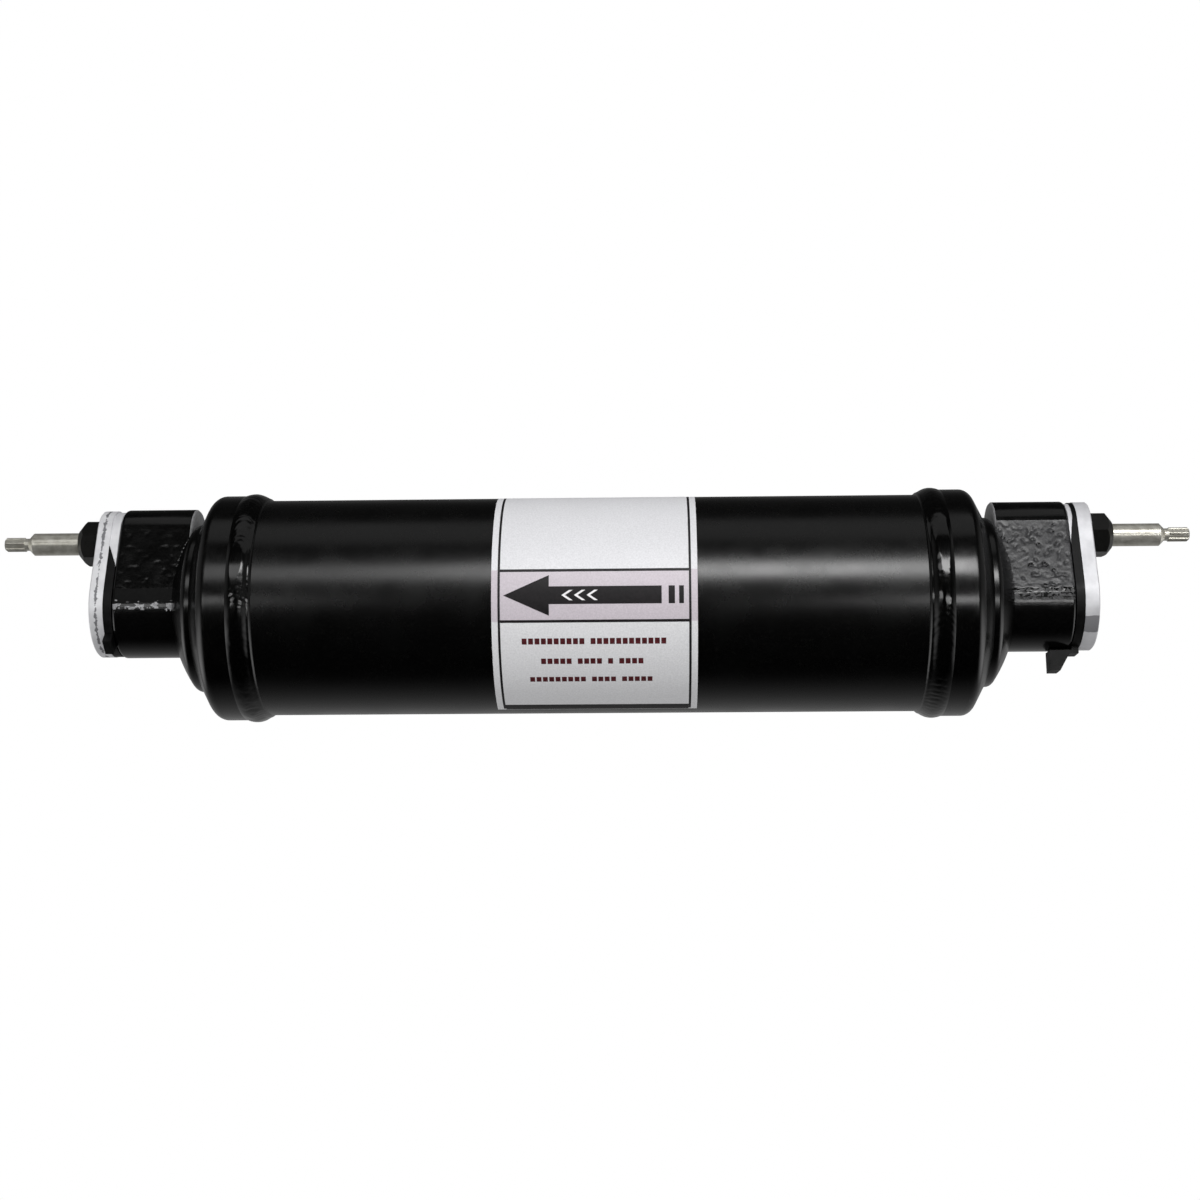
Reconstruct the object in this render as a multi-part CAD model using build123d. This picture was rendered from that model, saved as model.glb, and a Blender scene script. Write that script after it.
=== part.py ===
from build123d import *
import math
import os

# An in-line filter drier for a vehicle's air conditioning: a steel can with a lapped and
# girth-welded cap at each end, a drawn step and dome on each cap, and a teardrop fitting
# block brazed into each dome. Each block has the line's port on the can's axis and a stud
# above it, and is closed for transport by a rubber cap, a teardrop plate and a cone nut.
# Millimetres. The origin is the can's centre, +X runs along the can to the inlet, and the
# studs stand in +Z above the axis. The inlet end is modelled and the outlet end mirrors it.

# The can.
tube_radius = 38.1
tube_wall = 1.6
tube_length = 257.0

# The drawn end caps. Each skirt laps over the tube, and the cone runs down from it to the
# step that carries the dome.
cap_wall = 1.7
cap_lap = 10.0
cap_tube_gap = 0.3
cone_length = 5.4
step_radius = 29.8
step_height = 2.4
dome_radius = 51.5
shoulder_round = 4.0
step_round = 2.4

# The girth welds, each laid on the tube against the bevelled edge of a skirt.
weld_reach = 5.0
weld_crown = 0.6
bevel_length = 3.4

# The fitting blocks: a lower lobe round the port and an upper one round the stud.
port_lobe_radius = 17.5
stud_lobe_radius = 12.0
stud_offset = 24.0
block_standoff = 2.0
block_length = 25.8
block_face_round = 1.4
block_back_chamfer = 0.6
spigot_radius = 12.0
spigot_overhang = 1.5
passage_radius = 6.0
port_radius = 8.5
port_depth = 11.0
port_chamfer = 0.8

# The studs, with a reduced neck and a six-lobed driving tip.
thread_crest_radius = 4.0
thread_pitch_radius = 3.6
stud_engagement = 14.0
stud_hole_spare = 1.5
stud_reach = 36.3
stud_chamfer_length = 1.8
neck_radius = 2.2
neck_length = 1.5
tip_radius = 2.6
tip_length = 7.2
tip_lobe_radius = 0.55
tip_lobe_count = 6
tip_chamfer = 0.6

# The transport covers.
plate_thickness = 5.0
plate_inset = 0.3
plate_edge_chamfer = 0.4
plate_recess_radius = 18.8
plate_boss_inset = 0.5
stud_hole_clearance = 0.4
nut_across_flats = 14.0
nut_hex_height = 6.3
nut_height = 8.9
nut_top_radius = 5.0
nut_base_chamfer = 0.5
outlet_nut_turn = 11.0
port_cap_flange_radius = 16.9
port_cap_thickness = 3.0
plug_length = 8.0
plug_bore_radius = 5.0
plug_rib_count = 2
plug_rib_height = 0.5
plug_rib_pitch = 2.8
plug_rib_lead = 1.0
tab_width = 7.0
tab_root = 2.0
tab_strap = 1.2
tab_setback = 0.5
tab_top_length = 6.8
tab_tip_length = 3.4
tab_drop = 7.2
stub_width = 6.0
stub_root = 8.75
stub_reach = 3.2
stub_angle = -128.0

# The wrapped label.
label_width = 69.0
label_centre = 2.0
label_film = 0.12
label_low_angle = -82.0
label_high_angle = 73.0

# The filling: desiccant between two filter pads, held between two perforated cups. The
# outlet cup stands on the outlet cap, and a spring presses the inlet cup.
cup_wall = 1.2
cup_depth = 9.0
cup_chamfer = 0.8
cup_hole_radius = 3.2
cup_hole_pitch = 11.0
cup_hole_rings = 2
pad_thickness = 5.0
screen_thickness = 0.6
spring_radius = 20.0
spring_wire_width = 2.6
spring_wire_height = 1.2
spring_length = 22.0
spring_half_turns = 7

# Clearances.
lap_clearance = 0.05
braze_gap = 0.05
thread_clearance = 0.05
plug_clearance = 0.05
filling_clearance = 0.15
seat_gap = 0.3

# Places along the can that several pieces share.
tube_end = tube_length / 2
skirt_inner_radius = tube_radius + lap_clearance
skirt_radius = skirt_inner_radius + cap_wall
skirt_start = tube_end - cap_lap
tube_inner_radius = tube_radius - tube_wall
filling_radius = tube_inner_radius - filling_clearance

# The cone leans in from the skirt by this angle, and its corner stands where the round
# between them starts past the tube's end.
cone_lean = math.atan2(skirt_radius - step_radius, cone_length)
shoulder_corner = tube_end + cap_tube_gap + shoulder_round * math.tan(cone_lean / 2)
step_foot = shoulder_corner + cone_length
step_top = step_foot + step_height
dome_centre = step_top - math.sqrt(dome_radius**2 - step_radius**2)
block_back = step_top + block_standoff
block_face = block_back + block_length
plate_back = block_face + port_cap_thickness
plate_face = plate_back + plate_thickness
stud_end = plate_face + stud_reach


def dome_x(radius, inset=0.0):
    """Where the dome stands at a radius, on its outside or a wall further in."""
    return dome_centre + math.sqrt((dome_radius - inset) ** 2 - radius**2)


def turned(outline):
    """A solid turned about the can's axis from a half outline of (along, radius) points."""
    return revolve(outline, Axis.X)


def ring(inner, outer, start, end):
    """A plain ring about the can's axis."""
    return turned(Pos((start + end) / 2, (inner + outer) / 2) * Rectangle(end - start, outer - inner))


def rod(radius, start, end, height=0.0):
    """A plain cylinder parallel to the can, at a height above its axis."""
    return Pos(start, 0, height) * extrude(Plane.YZ * Circle(radius), end - start)


def cap_outline(inset=0.0):
    """The half outline of a cap's outside, or of the surface a wall further in."""
    shift = inset * math.tan(cone_lean / 2)
    start = skirt_start - 3 * cap_wall
    skirt = skirt_radius - inset
    step = step_radius - inset
    shoulder = (shoulder_corner - shift, skirt)
    step_edge = (dome_x(step, inset), step)
    crown = (dome_x(0, inset), 0)
    half_way = (dome_x(step / 2, inset), step / 2)
    edge = Polyline((start, 0), (start, skirt), shoulder, (step_foot - shift, step), step_edge)
    dome = ThreePointArc(step_edge, half_way, crown)
    face = make_face(Curve() + [edge, dome, Line(crown, (start, 0))])
    corner = face.vertices().sort_by_distance((*shoulder, 0))[0]
    face = fillet(corner, shoulder_round - inset)
    if inset == 0:
        corner = face.vertices().sort_by_distance((*step_edge, 0))[0]
        face = fillet(corner, step_round)
    return face


def end_cap():
    """The drawn cap: skirt, cone, step and dome in one wall, with a bevelled lap edge."""
    cap = turned(cap_outline()) - turned(cap_outline(cap_wall))
    cap -= rod(spigot_radius + braze_gap, step_foot, block_face)
    trim = ring(0, 2 * tube_radius, skirt_start - 4 * cap_wall, skirt_start)
    bevel = turned(
        make_face(
            Polyline(
                (skirt_start, skirt_inner_radius),
                (skirt_start + bevel_length, skirt_radius),
                (skirt_start + bevel_length, 2 * skirt_radius),
                (skirt_start, 2 * skirt_radius),
                close=True,
            )
        )
    )
    return cap - trim - bevel


def girth_weld():
    """The bead between tube and skirt: flat below, bevelled outside and crowned on top."""
    toe = skirt_start - weld_reach
    lap_edge = skirt_start + bevel_length
    crown_x = (toe + lap_edge) / 2
    crown_radius = skirt_radius + weld_crown
    bead = make_face(
        Curve()
        + [
            Polyline(
                (toe, tube_radius),
                (skirt_start, tube_radius),
                (skirt_start, skirt_inner_radius),
                (lap_edge, skirt_radius),
            ),
            ThreePointArc((lap_edge, skirt_radius), (crown_x, crown_radius), (toe, tube_radius)),
        ]
    )
    return turned(bead)


def canister_tube():
    """The can's drawn tube."""
    return ring(tube_inner_radius, tube_radius, -tube_end, tube_end)


def teardrop(inset=0.0):
    """The outline shared by block and plate: two lobes joined by tangent flanks."""
    port_lobe = Circle(port_lobe_radius - inset)
    stud_lobe = Pos(0, stud_offset) * Circle(stud_lobe_radius - inset)
    return make_hull(port_lobe.edges() + stud_lobe.edges())


def fitting_block():
    """The teardrop block, scribed to the dome, with its spigot, port and stud hole."""
    block = Pos(block_back, 0, 0) * extrude(Plane.YZ * teardrop(), block_length)
    block = fillet(block.faces().sort_by(Axis.X)[-1].edges(), block_face_round)
    block = chamfer(block.faces().sort_by(Axis.X)[0].edges(), block_back_chamfer)
    block -= Pos(dome_centre, 0, 0) * Sphere(dome_radius + braze_gap)
    spigot_end = dome_x(spigot_radius, cap_wall) - spigot_overhang
    block += rod(spigot_radius, spigot_end, block_face - port_depth)
    block -= rod(passage_radius, spigot_end, block_face)
    block -= rod(port_radius, block_face - port_depth, block_face)
    block -= turned(
        make_face(
            Polyline(
                (block_face - port_chamfer, 0),
                (block_face - port_chamfer, port_radius),
                (block_face, port_radius + port_chamfer),
                (block_face, 0),
                close=True,
            )
        )
    )
    hole_end = block_face - stud_engagement - stud_hole_spare
    return block - rod(thread_pitch_radius + thread_clearance, hole_end, block_face, stud_offset)


def stud():
    """The stud: engaged end, shank, neck and a driving tip with six lobes.

    Its thread is a plain cylinder, at the pitch radius where block and nut hold it and at
    the crest where it is free.
    """
    root = block_face - stud_engagement
    nut_end = plate_face + nut_height
    tip_start = stud_end - tip_length
    shank_end = tip_start - neck_length
    shank = turned(
        make_face(
            Polyline(
                (root, 0),
                (root, thread_pitch_radius),
                (block_face, thread_pitch_radius),
                (block_face, thread_crest_radius),
                (plate_face, thread_crest_radius),
                (plate_face, thread_pitch_radius),
                (nut_end, thread_pitch_radius),
                (nut_end, thread_crest_radius),
                (shank_end - stud_chamfer_length, thread_crest_radius),
                (shank_end, neck_radius),
                (tip_start, neck_radius),
                (tip_start, 0),
                close=True,
            )
        )
    )
    star = Circle(tip_radius - tip_lobe_radius)
    for lobe in range(tip_lobe_count):
        turn = Rot(0, 0, 360 * lobe / tip_lobe_count)
        star += turn * Pos(tip_radius - tip_lobe_radius, 0) * Circle(tip_lobe_radius)
    tip = Pos(tip_start, 0, 0) * extrude(Plane.YZ * star, tip_length)
    crown = turned(
        make_face(
            Polyline(
                (tip_start, 0),
                (tip_start, tip_radius + tip_chamfer),
                (stud_end - tip_chamfer, tip_radius),
                (stud_end, tip_radius - tip_chamfer),
                (stud_end, 0),
                close=True,
            )
        )
    )
    return Pos(0, 0, stud_offset) * (shank + (tip & crown))


def lock_nut(turn=0.0):
    """The hexagon nut with a long conical top, where its tightening turn left it."""
    corner_radius = nut_across_flats / math.sqrt(3)
    hexagon = RegularPolygon(nut_across_flats / 2, 6, major_radius=False)
    body = Pos(plate_face, 0, 0) * extrude(Plane.YZ * Rot(0, 0, -turn) * hexagon, nut_height)
    cone = turned(
        make_face(
            Polyline(
                (plate_face, 0),
                (plate_face, corner_radius - nut_base_chamfer),
                (plate_face + nut_base_chamfer, corner_radius),
                (plate_face + nut_hex_height, corner_radius),
                (plate_face + nut_height, nut_top_radius),
                (plate_face + nut_height, 0),
                close=True,
            )
        )
    )
    bore = rod(thread_pitch_radius + thread_clearance, plate_face, plate_face + nut_height)
    return Pos(0, 0, stud_offset) * ((body & cone) - bore)


def cover_plate():
    """The teardrop plate: its boss stands on the block, and its recess holds the rubber cap."""
    plate = Pos(plate_back, 0, 0) * extrude(Plane.YZ * teardrop(plate_inset), plate_thickness)
    plate = chamfer(plate.faces().sort_by(Axis.X)[-1].edges(), plate_edge_chamfer)
    boss = teardrop(plate_inset + plate_boss_inset) - Circle(plate_recess_radius)
    plate += Pos(block_face, 0, 0) * extrude(Plane.YZ * boss, port_cap_thickness)
    return plate - rod(thread_crest_radius + stud_hole_clearance, block_face, plate_face, stud_offset)


def port_plug():
    """The rubber cap's flange and its hollow, ribbed plug."""
    cap = ring(0, port_cap_flange_radius, block_face, plate_back)
    plug_radius = port_radius - plug_clearance - plug_rib_height
    plug_end = block_face - plug_length
    cap += ring(0, plug_radius, plug_end, block_face)
    for number in range(plug_rib_count):
        crest = block_face - (number + 1) * plug_rib_pitch
        cap += turned(
            make_face(
                Polyline(
                    (crest - plug_rib_lead, 0),
                    (crest - plug_rib_lead, plug_radius),
                    (crest, plug_radius + plug_rib_height),
                    (crest + plug_rib_height, plug_radius + plug_rib_height),
                    (crest + plug_rib_height, 0),
                    close=True,
                )
            )
        )
    cap -= rod(plug_bore_radius, plug_end, block_face - plug_rib_height)
    return cap - rod(thread_crest_radius + stud_hole_clearance, block_face, plate_back, stud_offset)


def port_cap_with_tab():
    """The inlet's rubber cap: its pull tab folds back under the block and tapers down."""
    under = -(port_lobe_radius + seat_gap)
    root = -(port_cap_flange_radius - tab_root)
    tab_start = block_face - tab_setback
    tab_end = tab_start - tab_top_length
    side = make_face(
        Polyline(
            (plate_back - seat_gap, root),
            (block_face + seat_gap, root),
            (block_face + seat_gap, under),
            (tab_end, under),
            (tab_end, under - tab_drop),
            (tab_end + tab_tip_length, under - tab_drop),
            (tab_start, under - tab_strap),
            (plate_back - seat_gap, under - tab_strap),
            close=True,
        )
    )
    tab = Pos(0, tab_width / 2, 0) * extrude(Plane.XZ * side, tab_width)
    return port_plug() + tab


def port_cap_with_stub():
    """The outlet's rubber cap: a short grip tab stands out past the flange."""
    end = port_lobe_radius + stub_reach
    stub = Pos((stub_root + end) / 2, 0) * Rectangle(end - stub_root, stub_width)
    solid = Pos(block_face, 0, 0) * extrude(Plane.YZ * Rot(0, 0, stub_angle) * stub, port_cap_thickness)
    return port_plug() + solid


def label():
    """The film label wrapped round the can's front."""
    film = Pos(label_centre, tube_radius + label_film / 2) * Rectangle(label_width, label_film)
    wrapped = revolve(film, Axis.X, label_high_angle - label_low_angle)
    return Rot(180 - label_high_angle, 0, 0) * wrapped


def perforated_cup(face_x, side):
    """A perforated cup whose flat face is at face_x and whose skirt points to a side."""
    skirt_end = face_x + side * cup_depth
    low, high = sorted((face_x, skirt_end))
    cup = ring(0, filling_radius, low, high)
    cup = chamfer(cup.faces().sort_by(Axis.X)[0 if side > 0 else -1].edges(), cup_chamfer)
    inner_low, inner_high = sorted((face_x + side * cup_wall, skirt_end))
    cup -= ring(0, filling_radius - cup_wall, inner_low, inner_high)
    holes = [(0.0, 0.0)]
    for number in range(1, cup_hole_rings + 1):
        count = 6 * number
        for place in range(count):
            angle = 2 * math.pi * place / count
            distance = number * cup_hole_pitch
            holes.append((distance * math.cos(angle), distance * math.sin(angle)))
    pattern = Sketch() + [Pos(across, up) * Circle(cup_hole_radius) for across, up in holes]
    return cup - Pos(face_x - cup_depth, 0, 0) * extrude(Plane.YZ * pattern, 2 * cup_depth)


def pressure_spring(start):
    """The flat-wire spring that presses the inlet cup, with its ends ground flat.

    Each half turn is half a ring, tilted to climb half the pitch: its ends lie level, so
    the next half turn, tilted the other way, goes on smoothly.
    """
    rise = spring_length / (spring_half_turns - 1)
    ring_radius = math.hypot(spring_radius, rise / 2)
    tilt = math.degrees(math.atan2(rise / 2, spring_radius))
    coil = Part()
    for number in range(spring_half_turns):
        side = 1 if number % 2 else -1
        section = Pos(ring_radius, 0) * Rectangle(spring_wire_width, spring_wire_height)
        half_ring = revolve(Plane.XZ * section, Axis.Z, 180)
        turned_half = Rot(0, 0, 180 if number % 2 else 0) * half_ring
        level = rise * number
        coil += Pos(0, 0, level) * Rot(0, side * tilt, 0) * turned_half
    keep = Pos(0, 0, spring_length / 2) * Cylinder(2 * spring_radius, spring_length)
    return Pos(start, 0, 0) * Rot(0, 90, 0) * (coil & keep)


def filling():
    """The inside, from the outlet cup that stands on its cap to the spring at the inlet."""
    outlet_face = -(tube_end + cap_tube_gap - cup_depth)
    spring_seat = dome_x(spring_radius + spring_wire_width / 2, cap_wall) - seat_gap
    inlet_face = spring_seat - spring_length - cup_wall
    pieces = {
        "retainer_cup_outlet": perforated_cup(outlet_face, -1),
        "retainer_cup_inlet": perforated_cup(inlet_face, 1),
        "pressure_spring": pressure_spring(inlet_face + cup_wall),
    }
    place = outlet_face
    for name, thickness in (
        ("outlet_screen", screen_thickness),
        ("filter_pad_outlet", pad_thickness),
    ):
        pieces[name] = ring(0, filling_radius, place, place + thickness)
        place += thickness
    pad_start = inlet_face - pad_thickness
    pieces["desiccant_bed"] = ring(0, filling_radius, place, pad_start)
    pieces["filter_pad_inlet"] = ring(0, filling_radius, pad_start, inlet_face)
    return pieces


def both_ends(name, solid):
    """An inlet piece and its mirror image at the outlet."""
    return {name + "_inlet": solid, name + "_outlet": mirror(solid, Plane.YZ)}


pieces = {"canister_tube": canister_tube(), "label": label()}
pieces.update(both_ends("end_cap", end_cap()))
pieces.update(both_ends("girth_weld", girth_weld()))
pieces.update(both_ends("fitting_block", fitting_block()))
pieces.update(both_ends("stud", stud()))
pieces["lock_nut_inlet"] = lock_nut()
pieces["lock_nut_outlet"] = mirror(lock_nut(outlet_nut_turn), Plane.YZ)
pieces.update(both_ends("cover_plate", cover_plate()))
pieces["port_cap_inlet"] = port_cap_with_tab()
pieces["port_cap_outlet"] = mirror(port_cap_with_stub(), Plane.YZ)
pieces.update(filling())

os.makedirs("parts", exist_ok=True)
for name, solid in pieces.items():
    export_step(solid, "parts/" + name + ".step")
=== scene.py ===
import math
import bmesh
import bpy
from mathutils import Matrix, Vector, noise


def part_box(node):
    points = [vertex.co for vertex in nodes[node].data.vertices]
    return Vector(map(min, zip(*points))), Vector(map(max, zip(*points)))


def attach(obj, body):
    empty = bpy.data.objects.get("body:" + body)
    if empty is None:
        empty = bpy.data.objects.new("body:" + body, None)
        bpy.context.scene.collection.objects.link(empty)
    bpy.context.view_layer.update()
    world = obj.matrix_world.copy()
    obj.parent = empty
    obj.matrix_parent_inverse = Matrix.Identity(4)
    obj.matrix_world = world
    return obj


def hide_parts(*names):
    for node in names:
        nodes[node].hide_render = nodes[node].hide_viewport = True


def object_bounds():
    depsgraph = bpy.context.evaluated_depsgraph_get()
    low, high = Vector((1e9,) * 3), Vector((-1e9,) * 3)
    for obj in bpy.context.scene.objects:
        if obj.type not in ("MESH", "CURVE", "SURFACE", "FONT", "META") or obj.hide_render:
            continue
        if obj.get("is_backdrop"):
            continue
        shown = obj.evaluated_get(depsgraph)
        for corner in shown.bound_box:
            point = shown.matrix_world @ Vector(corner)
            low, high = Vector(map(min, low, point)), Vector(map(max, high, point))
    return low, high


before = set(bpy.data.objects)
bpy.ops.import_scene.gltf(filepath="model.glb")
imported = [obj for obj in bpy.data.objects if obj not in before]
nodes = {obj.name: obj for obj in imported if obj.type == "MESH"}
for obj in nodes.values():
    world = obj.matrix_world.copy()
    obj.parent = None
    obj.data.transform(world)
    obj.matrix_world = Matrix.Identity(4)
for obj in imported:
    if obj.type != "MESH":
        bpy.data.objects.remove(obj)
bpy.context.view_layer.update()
mm = 0.001


# ---- The can -------------------------------------------------------------------------------
# The receiver tube: drawn steel, phosphated and sprayed with one coat of satin black
# enamel, which dries with a faint orange peel and picks up a little dust and handling.
def linear(hex_colour):
    """An sRGB hex colour as linear red, green, blue and alpha."""
    channels = [int(hex_colour[place : place + 2], 16) / 255 for place in (1, 3, 5)]
    return [c / 12.92 if c <= 0.04045 else ((c + 0.055) / 1.055) ** 2.4 for c in channels] + [1.0]


def per_mm(size):
    """The scale of a pattern whose features are this many millimetres across."""
    return 1.0 / (size * mm)


def add_node(tree, kind, sockets=None, stops=(), **settings):
    """Adds a node with its settings and links and, for a ramp, its (place, colour) stops.

    A socket takes a value, another socket, or a node, whose first output is then linked. A
    stop's colour is a hex colour or a grey.
    """
    node = tree.nodes.new(kind)
    for setting, value in settings.items():
        setattr(node, setting, value)
    for socket, value in (sockets or {}).items():
        if isinstance(value, bpy.types.Node):
            value = value.outputs[0]
        if isinstance(value, bpy.types.NodeSocket):
            tree.links.new(value, node.inputs[socket])
        else:
            node.inputs[socket].default_value = value
    for _ in stops[2:]:
        node.color_ramp.elements.new(0.5)
    for place, (position, colour) in enumerate(stops):
        node.color_ramp.elements[place].position = position
        shade = linear(colour) if isinstance(colour, str) else [colour] * 3 + [1.0]
        node.color_ramp.elements[place].color = shade
    return node


def new_material(name):
    """An empty material, as (material, its node tree, its own Object coordinates)."""
    material = bpy.data.materials.new(name)
    material.use_nodes = True
    tree = material.node_tree
    tree.nodes.clear()
    return material, tree, add_node(tree, "ShaderNodeTexCoord").outputs["Object"]


def finish_material(tree, sockets):
    """Ends a material in one Principled shader with these sockets."""
    shader = add_node(tree, "ShaderNodeBsdfPrincipled", sockets)
    add_node(tree, "ShaderNodeOutputMaterial", {"Surface": shader})


def dress(node_name, material):
    """Gives a CAD node its finish."""
    nodes[node_name].data.materials.clear()
    nodes[node_name].data.materials.append(material)


def satin_enamel(name, peel_size, peel_depth, gloss_low, gloss_high):
    """Satin black enamel: orange peel in the bump, handling in the gloss, and paler dust."""
    material, tree, places = new_material(name)
    handling = add_node(
        tree,
        "ShaderNodeTexNoise",
        {"Vector": places, "Scale": per_mm(14.0), "Detail": 4.0, "Roughness": 0.6},
    )
    gloss = add_node(
        tree, "ShaderNodeValToRGB", {"Fac": handling}, [(0.35, gloss_low), (0.68, gloss_high)]
    )
    dust = add_node(tree, "ShaderNodeTexNoise", {"Vector": places, "Scale": per_mm(0.9), "Detail": 1.0})
    colour = add_node(tree, "ShaderNodeValToRGB", {"Fac": dust}, [(0.55, "#030303"), (0.8, "#0a0a09")])
    peel = add_node(tree, "ShaderNodeTexNoise", {"Vector": places, "Scale": per_mm(peel_size)})
    normal = add_node(tree, "ShaderNodeBump", {"Height": peel, "Distance": peel_depth * mm})
    finish_material(tree, {"Base Color": colour, "Roughness": gloss, "Normal": normal, "IOR": 1.5})
    return material


dress("canister_tube", satin_enamel("satin_black_enamel", 1.6, 0.003, 0.24, 0.3))


# ---- The end caps --------------------------------------------------------------------------
# Deep-drawn steel caps, lapped over the ends of the tube, under the same coat. The draw
# leaves faint rings round the axis, and the coat is a little glossier there.
def drawn_enamel():
    """The same enamel over drawn steel, with the rings of the draw under the orange peel."""
    material, tree, places = new_material("satin_black_enamel_on_drawn_steel")
    handling = add_node(
        tree,
        "ShaderNodeTexNoise",
        {"Vector": places, "Scale": per_mm(9.0), "Detail": 4.0, "Roughness": 0.6},
    )
    gloss = add_node(tree, "ShaderNodeValToRGB", {"Fac": handling}, [(0.35, 0.17), (0.68, 0.25)])
    stretched = add_node(tree, "ShaderNodeMapping", {"Vector": places, "Scale": (1.0, 0.06, 0.06)})
    rings = add_node(tree, "ShaderNodeTexNoise", {"Vector": stretched, "Scale": per_mm(0.7)})
    peel = add_node(tree, "ShaderNodeTexNoise", {"Vector": places, "Scale": per_mm(1.4)})
    drawn = add_node(tree, "ShaderNodeBump", {"Height": rings, "Distance": 0.002 * mm})
    normal = add_node(
        tree, "ShaderNodeBump", {"Height": peel, "Distance": 0.004 * mm, "Normal": drawn}
    )
    dust = add_node(tree, "ShaderNodeTexNoise", {"Vector": places, "Scale": per_mm(0.8), "Detail": 1.0})
    colour = add_node(tree, "ShaderNodeValToRGB", {"Fac": dust}, [(0.55, "#030303"), (0.8, "#0b0b0a")])
    finish_material(tree, {"Base Color": colour, "Roughness": gloss, "Normal": normal, "IOR": 1.5})
    return material


cap_enamel = drawn_enamel()
for end in ("inlet", "outlet"):
    dress("end_cap_" + end, cap_enamel)


# ---- The girth welds -----------------------------------------------------------------------
# One run of arc weld round each end, laid on the tube against the bevelled skirt. It froze in
# crescents that show in places, and its end overlaps its start at the front.
weld_toe_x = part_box("girth_weld_inlet")[0].x
weld_lap_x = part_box("girth_weld_inlet")[1].x
weld_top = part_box("girth_weld_inlet")[1].z
tube_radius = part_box("canister_tube")[1].z
skirt_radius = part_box("end_cap_inlet")[1].z
skirt_edge_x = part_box("end_cap_inlet")[0].x


def finish_mesh(name, mesh, sharp_angle):
    """A new object for a mesh that is merged, faces outwards and is smooth below an angle."""
    made = bmesh.new()
    made.from_mesh(mesh)
    bmesh.ops.remove_doubles(made, verts=made.verts, dist=1e-6)
    bmesh.ops.recalc_face_normals(made, faces=made.faces)
    made.to_mesh(mesh)
    made.free()
    mesh.shade_smooth()
    mesh.set_sharp_from_angle(angle=math.radians(sharp_angle))
    mesh.name = name
    piece = bpy.data.objects.new(name, mesh)
    bpy.context.scene.collection.objects.link(piece)
    return piece


def turn_mesh(outline, turns):
    """A closed mesh turned about X from a closed outline of (along, radius) points."""
    made = bmesh.new()
    loops = []
    for turn in range(turns):
        angle = 2 * math.pi * turn / turns
        loops.append(
            [made.verts.new((x, -r * math.cos(angle), r * math.sin(angle))) for x, r in outline]
        )
    for turn in range(turns):
        here, there = loops[turn], loops[(turn + 1) % turns]
        for point in range(len(outline)):
            after = (point + 1) % len(outline)
            made.faces.new((here[point], there[point], there[after], here[after]))
    mesh = bpy.data.meshes.new("turned")
    made.to_mesh(mesh)
    made.free()
    return mesh


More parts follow.
